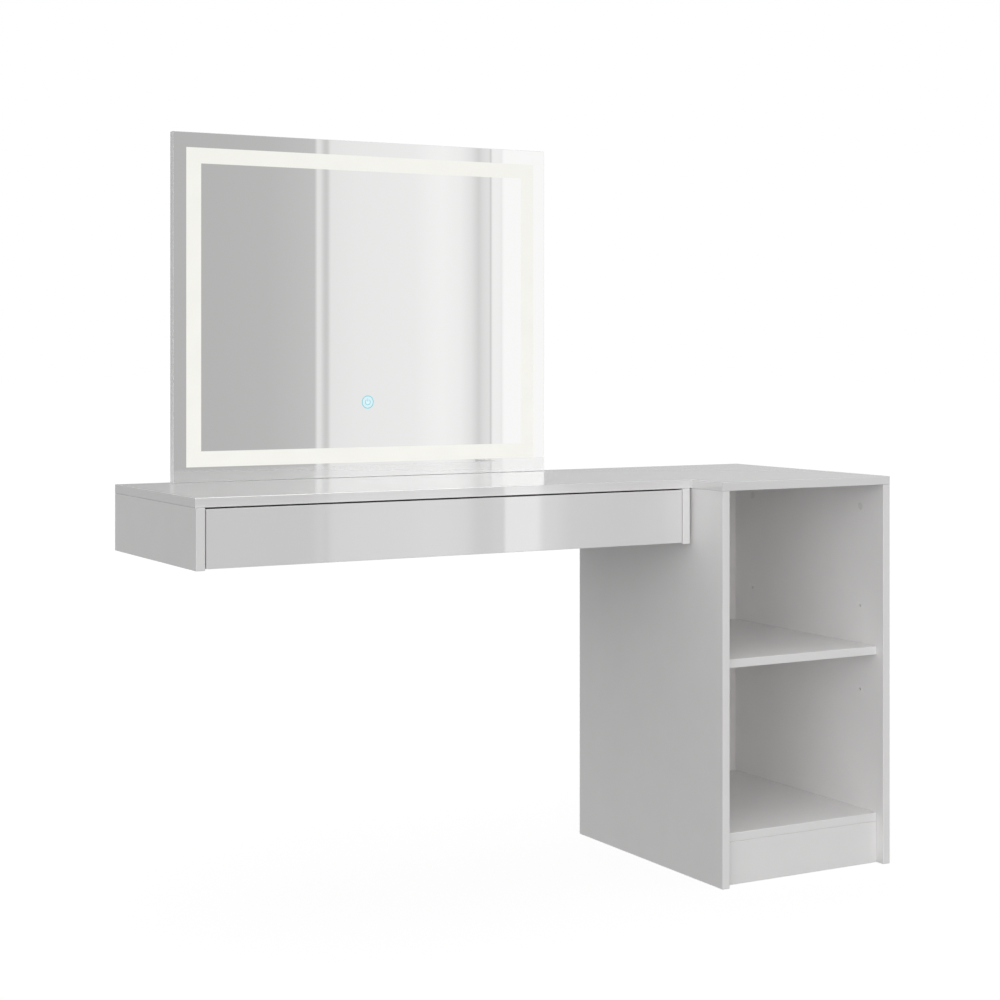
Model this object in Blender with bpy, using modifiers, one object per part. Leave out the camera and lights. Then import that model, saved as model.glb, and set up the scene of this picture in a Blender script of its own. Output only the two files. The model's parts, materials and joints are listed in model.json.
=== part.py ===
"""Wall-fixed vanity table: an L-shaped top, a drawer box that hangs free of the floor,
an open pedestal with one shelf, and a mirror with a light band standing on the top.

The frame's origin is on the floor, under the middle of the whole table. +X runs to the
right as a sitting person sees it, +Y points into the wall, +Z up. Places are given as
distances from the left end, from the wall and from the floor, and place() turns them
into that frame.
"""

import bpy
import bmesh
from math import pi
from mathutils import Matrix, Vector

# Driving dimensions, in metres
WIDTH = 1.387
DEPTH = 0.502                   # pedestal, wall to front edges
TABLE_HEIGHT = 0.750
BOARD = 0.016
PEDESTAL_WIDTH = 0.396
BOX_DEPTH = 0.408               # drawer box, wall to front edges
BOX_SIDE_HEIGHT = 0.104
BOX_TO_PEDESTAL = 0.008         # air gap between the drawer box and the pedestal
TOP_SETBACK = 0.0045            # the top's long edge behind the drawer box's front
MIRROR_WIDTH = 0.789
MIRROR_HEIGHT = 0.645
MIRROR_FRONT = 0.0275           # glass face, from the wall
PLINTH_HEIGHT = 0.080
SHELF_TOP = 0.419
FRONT_SETBACK = 0.020           # shelf, bottom and plinth behind the pedestal's sides
BACK_INSET = 0.016              # back panel, from the wall
BACK_THICKNESS = 0.003

GAP = 0.0003                    # left between pieces that touch
EDGE = 0.0006                   # rounding of board edges
REACH = 0.002                   # how far a cutter runs past the face it opens
SHEET_EDGE = 0.0004             # rounding of steel plates, pins and the touch sensor

# Fittings
CAM_HOLE_RADIUS = 0.0075
CAM_HOLE_DEPTH = 0.013
CAM_RECESS = 0.0025             # cam face below the panel's face
CAM_RADIUS = 0.0072
CAM_SLOT = 0.0074
CAM_CROSS = 0.0085              # length of the screwdriver cross in the cam's face
CAM_CROSS_WIDTH = 0.0016        # width of its arms, and how deep they are cut
BOLT_BORE_RADIUS = 0.004
BOLT_THREAD_RADIUS = 0.0028
BOLT_THREAD_LENGTH = 0.011
# Cam bolt's outline as (radius, height): its upper end from the top's underside, its lower
# end from the cam's middle
BOLT_UPPER_END = (
    (0.0, BOLT_THREAD_LENGTH), (0.0020, BOLT_THREAD_LENGTH), (BOLT_THREAD_RADIUS, 0.0095),
    (BOLT_THREAD_RADIUS, -0.0003), (0.0035, -0.0003), (0.0035, -0.0028), (0.0025, -0.0033),
)
BOLT_LOWER_END = (
    (0.0025, 0.0060), (0.0016, 0.0050), (0.0016, 0.0018), (0.0030, 0.0008),
    (0.0030, -0.0012), (0.0020, -0.0022), (0.0, -0.0022),
)
PEDESTAL_CAM_DROP = 0.046       # cam centre below the top's underside
DESK_CAM_DROP = 0.024
PIN_RADIUS = 0.0025
PIN_HOLE_RADIUS = 0.0028
PIN_HOLE_DEPTH = 0.0095
PIN_PITCH = 0.082
PIN_DROP = 0.0005               # pins' middle below the shelf board's middle
HOLE_ROW_REAR = 0.080           # from the wall
HOLE_ROW_FRONT = 0.432
CONNECTOR_RADIUS = 0.003
CONNECTOR_HEAD_RADIUS = 0.007
CONNECTOR_HEAD = 0.002
CONNECTOR_RIM = 0.0008          # slope round the heads' edges
CONNECTOR_HEIGHT = 0.716
CONNECTOR_ROWS = {"rear": 0.120, "front": 0.290}
DESK_CAM_ROWS = {"rear": 0.045, "front": 0.365}
WALL_HOLE_RADIUS = 0.004
WALL_PLATE = 0.060
WALL_PLATE_THICKNESS = 0.0025
WALL_PLATE_INSET = 0.145        # wall hole, from the drawer box's inner face
BACK_GROOVE_DEPTH = 0.0075      # groove for the back panel in the pedestal's sides
CLIP_POCKET_LENGTH = 0.0200
CLIP_POCKET_HALF = 0.0083
CLIP_POCKET_DEPTH = 0.0120
PIN_OUT = 0.0085                # shelf pin, from the pedestal's inner face into the clip
BATTEN_REAR = 0.050             # gap batten, from the wall
BATTEN_FRONT = 0.335
BATTEN_LIFT = 0.010             # above the drawer box's lower edge

# Drawer and its runners
DRAWER_SIDE_GAP = 0.002
DRAWER_TOP_GAP = 0.0025
DRAWER_LIFT = 0.0025            # drawer front's lower edge above the box's lower edge
DRAWER_BOARD = 0.012
DRAWER_BOX_LOW = 0.645
DRAWER_BOX_HIGH = 0.715
DRAWER_BOX_LENGTH = 0.350
DRAWER_BOTTOM_LOW = 0.653
DRAWER_BOTTOM_THICKNESS = 0.004
GROOVE_DEPTH = 0.006
RUNNER_THICKNESS = 0.0127
RUNNER_LENGTH = 0.345
RUNNER_MIDDLE_HEIGHT = 0.680
RUNNER_METAL = 0.0012
RUNNER_SETBACK = 0.004          # runners' front ends behind the drawer front's back
# Channels: web and flange ends from the box's side, and half the height
BOX_MEMBER = (0.0003, 0.0095, 0.0225)
MIDDLE_MEMBER = (0.0030, 0.0105, 0.0185)
DRAWER_MEMBER = (0.0124, 0.0055, 0.0145)

# Mirror
GLASS = 0.005
MIRROR_FRAME_DEPTH = 0.010
MIRROR_FRAME_WIDTH = 0.020
BAND_MARGIN_SIDE = 0.0255
BAND_MARGIN_END = 0.0280
BAND_WIDTH = 0.0290
BAND_DEPTH = 0.0010
BACK_PLATE = 0.003
LED_STRIP_THICKNESS = 0.002
LED_STRIP_WIDTH = 0.008
LED_STRIP_INSET = 0.036         # from the mirror's edge
TOUCH_HEIGHT = 0.894            # touch field's centre, from the floor
SENSOR_HALF = 0.015
SENSOR_THICKNESS = 0.002
DRIVER_LEFT, DRIVER_RIGHT = 0.580, 0.740
DRIVER_LOW, DRIVER_HIGH = 0.830, 0.872
DRIVER_DEPTH = 0.009
DRIVER_ROUNDING = 0.0015
INLET_LEFT, INLET_RIGHT = 0.790, 0.806
INLET_LOW, INLET_HIGH = 0.844, 0.860
INLET_DEPTH = 0.0105
PLUG_RADIUS = 0.0030
PLUG_DEPTH = 0.011
BRACKET_FROM_END = 0.250
BRACKET_WIDTH = 0.040
BRACKET_HEIGHT = 0.060
BRACKET_METAL = 0.002
BRACKET_BACK = 0.0010           # rear edge of the lower leg, from the wall
BRACKET_SCREWS = {"low": 0.028, "high": 0.048}
BRACKET_HOLE_RADIUS = 0.0022

# Derived places
BOARD_TOP_UNDER = TABLE_HEIGHT - BOARD
PANEL_TOP = BOARD_TOP_UNDER - GAP
PEDESTAL_LEFT = WIDTH - PEDESTAL_WIDTH
PEDESTAL_INNER_LEFT = PEDESTAL_LEFT + BOARD
PEDESTAL_INNER_RIGHT = WIDTH - BOARD
BOX_RIGHT = PEDESTAL_LEFT - BOX_TO_PEDESTAL
BOX_INNER_LEFT = BOARD
BOX_INNER_RIGHT = BOX_RIGHT - BOARD
BOX_MIDDLE = (BOX_INNER_LEFT + BOX_INNER_RIGHT) / 2
BOX_LOW = BOARD_TOP_UNDER - BOX_SIDE_HEIGHT
PEDESTAL_FRONT_INNER = DEPTH - FRONT_SETBACK
PANEL_BACK = BACK_INSET + BACK_THICKNESS + GAP
PLINTH_TOP = PLINTH_HEIGHT + BOARD
PIN_MIDDLE = SHELF_TOP - BOARD / 2 - PIN_DROP
MIRROR_LEFT = PEDESTAL_LEFT / 2 - MIRROR_WIDTH / 2
MIRROR_RIGHT = MIRROR_LEFT + MIRROR_WIDTH
MIRROR_MIDDLE = PEDESTAL_LEFT / 2
MIRROR_LOW = TABLE_HEIGHT + GAP
MIRROR_HIGH = TABLE_HEIGHT + MIRROR_HEIGHT
GLASS_BACK = MIRROR_FRONT - GLASS
FRAME_FRONT = GLASS_BACK - GAP
FRAME_BACK = FRAME_FRONT - MIRROR_FRAME_DEPTH
DRAWER_FRONT_BACK = BOX_DEPTH - BOARD
ROUND = 24                      # sides of a drilled hole or a turned fitting
ROUND_SMALL = 16                # sides of a cam bolt

OBJECT_NAME = "vanity_table"


def clear_scene():
    for obj in list(bpy.data.objects):
        bpy.data.objects.remove(obj, do_unlink=True)


def new_collection(name):
    group = bpy.data.collections.new(name)
    bpy.context.scene.collection.children.link(group)
    return group


def place(from_left, from_wall, height):
    """World point for distances from the left end, the wall and the floor."""
    return Vector((from_left - WIDTH / 2, DEPTH / 2 - from_wall, height))


clear_scene()
PARTS = new_collection(OBJECT_NAME)
CUTTERS = new_collection("cutters")


# Materials ---------------------------------------------------------------------------

def material(name, colour, roughness, metallic=0.0, emission=0.0):
    made = bpy.data.materials.new(name)
    made.use_nodes = True
    shader = made.node_tree.nodes["Principled BSDF"]
    shader.inputs["Base Color"].default_value = (*colour, 1.0)
    shader.inputs["Roughness"].default_value = roughness
    shader.inputs["Metallic"].default_value = metallic
    if emission:
        shader.inputs["Emission Color"].default_value = (*colour, 1.0)
        shader.inputs["Emission Strength"].default_value = emission
    return made


GLOSS_WHITE = material("gloss_white", (0.80, 0.80, 0.80), 0.06)
SATIN_WHITE = material("satin_white", (0.78, 0.78, 0.78), 0.38)
BACK_WHITE = material("back_white", (0.74, 0.74, 0.73), 0.50)
DRAWER_GREY = material("drawer_grey", (0.62, 0.62, 0.61), 0.45)
ZINC = material("zinc", (0.62, 0.62, 0.60), 0.32, 1.0)
STEEL = material("steel", (0.56, 0.57, 0.58), 0.28, 1.0)
CLIP_PLASTIC = material("clip_plastic", (0.72, 0.72, 0.70), 0.45)
SILVERED = material("silvered", (0.92, 0.93, 0.93), 0.02, 1.0)
LIGHT_BAND = material("light_band", (1.0, 0.95, 0.86), 0.40, 0.0, 1.5)
FRAME_WHITE = material("frame_white", (0.76, 0.76, 0.76), 0.40)
BLACK_PLASTIC = material("black_plastic", (0.03, 0.03, 0.03), 0.45)
CIRCUIT = material("circuit", (0.70, 0.70, 0.66), 0.50)


# Building blocks ---------------------------------------------------------------------

def add_object(name, mesh, finish, group=None):
    obj = bpy.data.objects.new(name, mesh)
    (group or PARTS).objects.link(obj)
    if finish:
        mesh.materials.append(finish)
    return obj


def round_edges(obj, width=EDGE, segments=1):
    bevel = obj.modifiers.new("edges", "BEVEL")
    bevel.width = width
    bevel.segments = segments
    bevel.limit_method = "ANGLE"
    bevel.angle_limit = pi / 6


def box_mesh(name, size):
    mesh = bpy.data.meshes.new(name)
    shape = bmesh.new()
    bmesh.ops.create_cube(shape, size=1.0, matrix=Matrix.Diagonal((*size, 1.0)))
    shape.to_mesh(mesh)
    shape.free()
    return mesh


def box_object(name, left, right, back, front, low, high, finish, group=None):
    """Box between two distances from the left end, the wall and the floor."""
    mesh = box_mesh(name, (right - left, front - back, high - low))
    obj = add_object(name, mesh, finish, group)
    obj.location = place((left + right) / 2, (back + front) / 2, (low + high) / 2)
    return obj


def board(name, left, right, back, front, low, high, finish, edge=EDGE, segments=1):
    obj = box_object(name, left, right, back, front, low, high, finish)
    round_edges(obj, edge, segments)
    return obj


def turn_towards(obj, direction):
    """Turn an object's +Z to the world axis named x, y or z."""
    obj.rotation_euler = {"x": (0, pi / 2, 0), "y": (-pi / 2, 0, 0), "z": (0, 0, 0)}[direction]


def cylinder_mesh(name, radius, length, sides=ROUND):
    mesh = bpy.data.meshes.new(name)
    shape = bmesh.new()
    bmesh.ops.create_cone(shape, cap_ends=True, segments=sides, radius1=radius,
                          radius2=radius, depth=length)
    shape.to_mesh(mesh)
    shape.free()
    return mesh


def turned_object(name, profile, finish, sides=ROUND):
    """Solid of revolution about +Z from (radius, height) points, top to bottom."""
    mesh = bpy.data.meshes.new(name)
    shape = bmesh.new()
    points = [shape.verts.new((radius, 0, height)) for radius, height in profile]
    for upper, lower in zip(points, points[1:]):
        shape.edges.new((upper, lower))
    shape.to_mesh(mesh)
    shape.free()
    obj = add_object(name, mesh, finish)
    screw = obj.modifiers.new("turn", "SCREW")
    screw.steps = sides
    screw.render_steps = sides
    screw.use_merge_vertices = True
    screw.merge_threshold = 0.00001
    mesh_smooth(obj)
    return obj


def mesh_smooth(obj):
    obj.data.shade_smooth()
    obj.data.set_sharp_from_angle(angle=pi / 5)


def outline_object(name, loops, thickness, finish, group=None):
    """Flat plate in its own XY plane from closed loops of points; inner loops are holes."""
    curve = bpy.data.curves.new(name, "CURVE")
    curve.dimensions = "2D"
    curve.fill_mode = "BOTH"
    curve.extrude = thickness / 2
    for loop in loops:
        spline = curve.splines.new("POLY")
        spline.points.add(len(loop) - 1)
        for point, (across, up) in zip(spline.points, loop):
            point.co = (across, up, 0, 1)
        spline.use_cyclic_u = True
    guide = bpy.data.objects.new(name + "_outline", curve)
    CUTTERS.objects.link(guide)
    bpy.context.view_layer.update()
    evaluated = guide.evaluated_get(bpy.context.evaluated_depsgraph_get())
    mesh = bpy.data.meshes.new_from_object(evaluated)
    shape = bmesh.new()
    shape.from_mesh(mesh)
    bmesh.ops.remove_doubles(shape, verts=shape.verts, dist=0.00005)
    bmesh.ops.dissolve_limit(shape, angle_limit=0.01, verts=shape.verts, edges=shape.edges)
    bmesh.ops.recalc_face_normals(shape, faces=shape.faces)
    shape.to_mesh(mesh)
    shape.free()
    mesh.name = name
    bpy.data.objects.remove(guide, do_unlink=True)
    return add_object(name, mesh, finish, group)


def rectangle(half_width, half_height):
    return [(-half_width, -half_height), (half_width, -half_height),
            (half_width, half_height), (-half_width, half_height)]


def stand_upright(obj, from_left, from_wall, height):
    """Turn a flat plate's XY plane to the world's XZ plane and put its middle at a place."""
    obj.rotation_euler = (pi / 2, 0, 0)
    obj.location = place(from_left, from_wall, height)


def ring(name, half_width, half_height, rail, thickness, finish, group=None):
    inner = rectangle(half_width - rail, half_height - rail)
    return outline_object(name, [rectangle(half_width, half_height), inner], thickness, finish, group)


def hide_cutter(cutter):
    cutter.hide_render = True
    cutter.display_type = "WIRE"


def cut(obj, cutter):
    hide_cutter(cutter)
    boolean = obj.modifiers.new(cutter.name, "BOOLEAN")
    boolean.operation = "DIFFERENCE"
    boolean.solver = "EXACT"
    boolean.object = cutter


def cut_box(obj, label, left, right, back, front, low, high):
    cutter = box_object(f"{obj.name}_{label}", left, right, back, front, low, high, None, CUTTERS)
    cut(obj, cutter)


def drill(obj, label, middle, radius, length, direction):
    """Cut a cylinder whose middle is a (left, wall, height) place."""
    name = f"{obj.name}_{label}"
    cutter = add_object(name, cylinder_mesh(name, radius, length), None, CUTTERS)
    turn_towards(cutter, direction)
    cutter.location = place(*middle)
    cut(obj, cutter)


def drill_from(obj, label, face, sign, from_wall, height, radius, depth):
    """Drill along X into a panel face; sign is +1 where the panel lies to the right of it."""
    middle = face + sign * (depth - REACH) / 2
    drill(obj, label, (middle, from_wall, height), radius, depth + REACH, "x")


def hang_on(obj, pivot):
    """Parent to an empty without moving the object."""
    obj.parent = pivot
    obj.location = obj.location - pivot.location


def joint_empty(name, from_left, from_wall, height):
    pivot = bpy.data.objects.new(name, None)
    pivot.empty_display_size = 0.05
    PARTS.objects.link(pivot)
    pivot.location = place(from_left, from_wall, height)
    return pivot


# Cam fittings ------------------------------------------------------------------------

def cam_lock(name, face, sign, from_wall, height):
    """Turned cam in its drilled pocket; its slot takes the bolt's head from above."""
    length = CAM_HOLE_DEPTH - CAM_RECESS - GAP
    obj = add_object(name, cylinder_mesh(name, CAM_RADIUS, length), ZINC)
    turn_towards(obj, "x")
    outer = face + sign * CAM_RECESS
    obj.location = place(outer + sign * length / 2, from_wall, height)
    bolt_axis = face + sign * BOARD / 2
    inner = outer + sign * (length + REACH)
    slot_start = bolt_axis - sign * CAM_SLOT / 2
    cut_box(obj, "bolt_slot", min(slot_start, inner), max(slot_start, inner),
            from_wall - CAM_SLOT / 2, from_wall + CAM_SLOT / 2,
            height - CAM_SLOT / 2, height + CAM_RADIUS + REACH)
    for label, across, up in (("cross_wide", CAM_CROSS, CAM_CROSS_WIDTH),
                              ("cross_tall", CAM_CROSS_WIDTH, CAM_CROSS)):
        near = outer - sign * REACH
        far = outer + sign * CAM_CROSS_WIDTH
        cut_box(obj, label, min(near, far), max(near, far),
                from_wall - across / 2, from_wall + across / 2,
                height - up / 2, height + up / 2)
    mesh_smooth(obj)
    return obj


def cam_bolt(name, from_left, from_wall, drop):
    """Bolt screwed up into the top, its head hanging at the cam's middle."""
    profile = list(BOLT_UPPER_END)
    profile += [(radius, height - drop) for radius, height in BOLT_LOWER_END]
    obj = turned_object(name, profile, STEEL, ROUND_SMALL)
    obj.location = place(from_left, from_wall, BOARD_TOP_UNDER)
    return obj


def cam_joint(panel, top, label, face, sign, from_wall, drop):
    """Drill panel and top for one cam fitting and add the cam and its bolt."""
    height = BOARD_TOP_UNDER - drop
    axis = face + sign * BOARD / 2
    drill_from(panel, f"{label}_cam_hole", face, sign, from_wall, height,
               CAM_HOLE_RADIUS, CAM_HOLE_DEPTH)
    drill(panel, f"{label}_bolt_bore", (axis, from_wall, height + (drop + REACH) / 2),
          BOLT_BORE_RADIUS, drop + REACH, "z")
    drill(top, f"{label}_bolt_hole",
          (axis, from_wall, BOARD_TOP_UNDER + (BOLT_THREAD_LENGTH + GAP - REACH) / 2),
          BOLT_THREAD_RADIUS + GAP, BOLT_THREAD_LENGTH + GAP + REACH, "z")
    cam_lock(f"{label}_cam_lock", face, sign, from_wall, height)
    cam_bolt(f"{label}_cam_bolt", axis, from_wall, drop)


# Carcass -----------------------------------------------------------------------------

def build_top():
    """One L-shaped board over the drawer box and the pedestal."""
    long_edge = BOX_DEPTH - TOP_SETBACK
    corners = [(0, 0), (0, long_edge), (PEDESTAL_LEFT, long_edge), (PEDESTAL_LEFT, DEPTH),
               (WIDTH, DEPTH), (WIDTH, 0)]
    loop = [tuple(place(left, wall, 0).xy) for left, wall in corners]
    obj = outline_object("table_top", [loop], BOARD, GLOSS_WHITE)
    obj.location.z = TABLE_HEIGHT - BOARD / 2
    round_edges(obj, EDGE, 2)
    return obj


def side_panel(name, left, front, low, finish):
    return board(name, left, left + BOARD, 0, front, low, PANEL_TOP, finish)


def drill_shelf_rows(panel, face, sign):
    for column, from_wall in (("rear", HOLE_ROW_REAR), ("front", HOLE_ROW_FRONT)):
        for row in (-1, 0, 1):
            drill_from(panel, f"{column}_pin_hole_{row + 1}", face, sign, from_wall,
                       PIN_MIDDLE + row * PIN_PITCH, PIN_HOLE_RADIUS, PIN_HOLE_DEPTH)


def build_pedestal(top):
    sides = {
        "left": (side_panel("pedestal_side_left", PEDESTAL_LEFT, DEPTH, 0, SATIN_WHITE),
                 PEDESTAL_INNER_LEFT, -1),
        "right": (side_panel("pedestal_side_right", PEDESTAL_INNER_RIGHT, DEPTH, 0, SATIN_WHITE),
                  PEDESTAL_INNER_RIGHT, 1),
    }
    for hand, (panel, face, sign) in sides.items():
        drill_shelf_rows(panel, face, sign)
        bottom = face + sign * BACK_GROOVE_DEPTH
        near = face - sign * REACH
        cut_box(panel, "back_groove", min(near, bottom), max(near, bottom),
                BACK_INSET - GAP, BACK_INSET + BACK_THICKNESS + GAP,
                -REACH, TABLE_HEIGHT)
        for column, from_wall in (("rear", HOLE_ROW_REAR), ("front", HOLE_ROW_FRONT)):
            cam_joint(panel, top, f"pedestal_{hand}_{column}", face, sign, from_wall,
                      PEDESTAL_CAM_DROP)
    inside = BACK_GROOVE_DEPTH - GAP
    box_object("pedestal_back", PEDESTAL_INNER_LEFT - inside, PEDESTAL_INNER_RIGHT + inside,
               BACK_INSET, BACK_INSET + BACK_THICKNESS, PLINTH_HEIGHT - BOARD, PANEL_TOP,
               BACK_WHITE)
    left = PEDESTAL_INNER_LEFT + GAP
    right = PEDESTAL_INNER_RIGHT - GAP
    board("pedestal_bottom", left, right, PANEL_BACK, PEDESTAL_FRONT_INNER,
          PLINTH_HEIGHT, PLINTH_TOP, SATIN_WHITE)
    board("pedestal_plinth", left, right, PEDESTAL_FRONT_INNER - BOARD, PEDESTAL_FRONT_INNER,
          0, PLINTH_HEIGHT - GAP, SATIN_WHITE)
    build_shelf(left, right)
    return sides["left"][0]


def build_shelf(left, right):
    shelf = board("pedestal_shelf", left, right, PANEL_BACK, PEDESTAL_FRONT_INNER,
                  SHELF_TOP - BOARD, SHELF_TOP, SATIN_WHITE)
    for column, from_wall in (("rear", HOLE_ROW_REAR), ("front", HOLE_ROW_FRONT)):
        for hand, end, face, sign in (("left", left, PEDESTAL_INNER_LEFT, 1),
                                      ("right", right, PEDESTAL_INNER_RIGHT, -1)):
            spot = f"{column}_{hand}"
            near = end - sign * REACH
            far = end + sign * CLIP_POCKET_LENGTH
            cut_box(shelf, f"{spot}_pocket", min(near, far), max(near, far),
                    from_wall - CLIP_POCKET_HALF, from_wall + CLIP_POCKET_HALF,
                    SHELF_TOP - BOARD - REACH, SHELF_TOP - BOARD + CLIP_POCKET_DEPTH)
            far = end + sign * (CLIP_POCKET_LENGTH - GAP)
            clip = board(f"shelf_clip_{spot}", min(end, far), max(end, far),
                         from_wall - CLIP_POCKET_HALF + GAP, from_wall + CLIP_POCKET_HALF - GAP,
                         SHELF_TOP - BOARD, SHELF_TOP - BOARD + CLIP_POCKET_DEPTH - GAP,
                         CLIP_PLASTIC)
            bore = PIN_OUT + GAP
            drill(clip, "pin_bore", (face + sign * (bore - REACH) / 2, from_wall, PIN_MIDDLE),
                  PIN_HOLE_RADIUS, bore + REACH, "x")
            pin_in = PIN_HOLE_DEPTH - GAP
            pin = add_object(f"shelf_pin_{spot}",
                             cylinder_mesh("shelf_pin", PIN_RADIUS, pin_in + PIN_OUT), STEEL)
            turn_towards(pin, "x")
            pin.location = place(face + sign * (PIN_OUT - pin_in) / 2, from_wall, PIN_MIDDLE)
            mesh_smooth(pin)
            round_edges(pin, SHEET_EDGE)


def build_drawer_box(top, pedestal_side):
    """Two sides and a back rail under the top, bolted to the pedestal through a batten."""
    left_side = side_panel("desk_side_left", 0, BOX_DEPTH, BOX_LOW, SATIN_WHITE)
    right_side = side_panel("desk_side_right", BOX_INNER_RIGHT, BOX_DEPTH, BOX_LOW, SATIN_WHITE)
    for hand, panel, face, sign in (("left", left_side, BOX_INNER_LEFT, -1),
                                    ("right", right_side, BOX_INNER_RIGHT, 1)):
        for column, from_wall in DESK_CAM_ROWS.items():
            cam_joint(panel, top, f"desk_{hand}_{column}", face, sign, from_wall, DESK_CAM_DROP)
    back = board("desk_back", BOX_INNER_LEFT + GAP, BOX_INNER_RIGHT - GAP, 0, BOARD,
                 BOX_LOW, PANEL_TOP, SATIN_WHITE)
    build_wall_plates(back)
    build_connectors(right_side, pedestal_side)


def build_wall_plates(back):
    """Steel plates that spread the load of the wall screws on the back rail."""
    height = (BOX_LOW + BOARD_TOP_UNDER) / 2
    for hand, from_left in (("left", BOX_INNER_LEFT + WALL_PLATE_INSET),
                            ("right", BOX_INNER_RIGHT - WALL_PLATE_INSET)):
        drill(back, f"{hand}_wall_hole", (from_left, BOARD / 2, height),
              WALL_HOLE_RADIUS, BOARD + 2 * REACH, "y")
        plate = board(f"wall_plate_{hand}", from_left - WALL_PLATE / 2, from_left + WALL_PLATE / 2,
                      BOARD + GAP, BOARD + GAP + WALL_PLATE_THICKNESS,
                      height - WALL_PLATE / 2, height + WALL_PLATE / 2, ZINC, SHEET_EDGE)
        drill(plate, "wall_hole", (from_left, BOARD + WALL_PLATE_THICKNESS / 2, height),
              WALL_HOLE_RADIUS, WALL_PLATE_THICKNESS + 2 * REACH, "y")


def build_connectors(box_side, pedestal_side):
    batten = board("gap_batten", BOX_RIGHT + GAP, PEDESTAL_LEFT - GAP, BATTEN_REAR, BATTEN_FRONT,
                   BOX_LOW + BATTEN_LIFT, PANEL_TOP, SATIN_WHITE)
    middle = (BOX_INNER_RIGHT + PEDESTAL_INNER_LEFT) / 2
    half = (PEDESTAL_INNER_LEFT - BOX_INNER_RIGHT) / 2 + GAP
    for column, from_wall in CONNECTOR_ROWS.items():
        for panel in (box_side, batten, pedestal_side):
            drill(panel, f"{column}_connector_hole", (middle, from_wall, CONNECTOR_HEIGHT),
                  CONNECTOR_RADIUS + GAP, 2 * half + 2 * REACH, "x")
        rim = CONNECTOR_HEAD_RADIUS
        profile = [
            (0.0, half + CONNECTOR_HEAD),
            (rim - CONNECTOR_RIM, half + CONNECTOR_HEAD),
            (rim, half + CONNECTOR_HEAD - CONNECTOR_RIM),
            (rim, half),
            (CONNECTOR_RADIUS, half),
            (CONNECTOR_RADIUS, -half),
            (rim, -half),
            (rim, -half - CONNECTOR_HEAD + CONNECTOR_RIM),
            (rim - CONNECTOR_RIM, -half - CONNECTOR_HEAD),
            (0.0, -half - CONNECTOR_HEAD),
        ]
        bolt = turned_object(f"connector_bolt_{column}", profile, ZINC)
        turn_towards(bolt, "x")
        bolt.location = place(middle, from_wall, CONNECTOR_HEIGHT)


# Drawer ------------------------------------------------------------------------------

def channel(name, member, hand):
    """Rolled channel along Y, of one of the members' (web, flange end, half height)."""
    web, flange_end, half_height = member
    inward = 1 if flange_end > web else -1
    inner_web = web + inward * RUNNER_METAL
    inner_half = half_height - RUNNER_METAL
    section = [(web, -half_height), (flange_end, -half_height), (flange_end, -inner_half),
               (inner_web, -inner_half), (inner_web, inner_half), (flange_end, inner_half),
               (flange_end, half_height), (web, half_height)]
    side = BOX_INNER_LEFT if hand == "left" else BOX_INNER_RIGHT
    sign = 1 if hand == "left" else -1
    loop = [(sign * across, up) for across, up in section]
    obj = outline_object(name, [loop], RUNNER_LENGTH, ZINC)
    stand_upright(obj, side, DRAWER_FRONT_BACK - RUNNER_SETBACK - RUNNER_LENGTH / 2,
                  RUNNER_MIDDLE_HEIGHT)
    return obj


def build_runners(drawer_slide):
    """Three nested channels a side: box, middle and drawer members."""
    for hand in ("left", "right"):
        channel(f"runner_box_{hand}", BOX_MEMBER, hand)
        middle = channel(f"runner_middle_{hand}", MIDDLE_MEMBER, hand)
        side = BOX_INNER_LEFT if hand == "left" else BOX_INNER_RIGHT
        hang_on(middle, joint_empty(f"runner_slide_{hand}", side,
                                    DRAWER_FRONT_BACK - RUNNER_LENGTH / 2,
                                    RUNNER_MIDDLE_HEIGHT))
        inner = channel(f"runner_drawer_{hand}", DRAWER_MEMBER, hand)
        hang_on(inner, drawer_slide)


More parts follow.
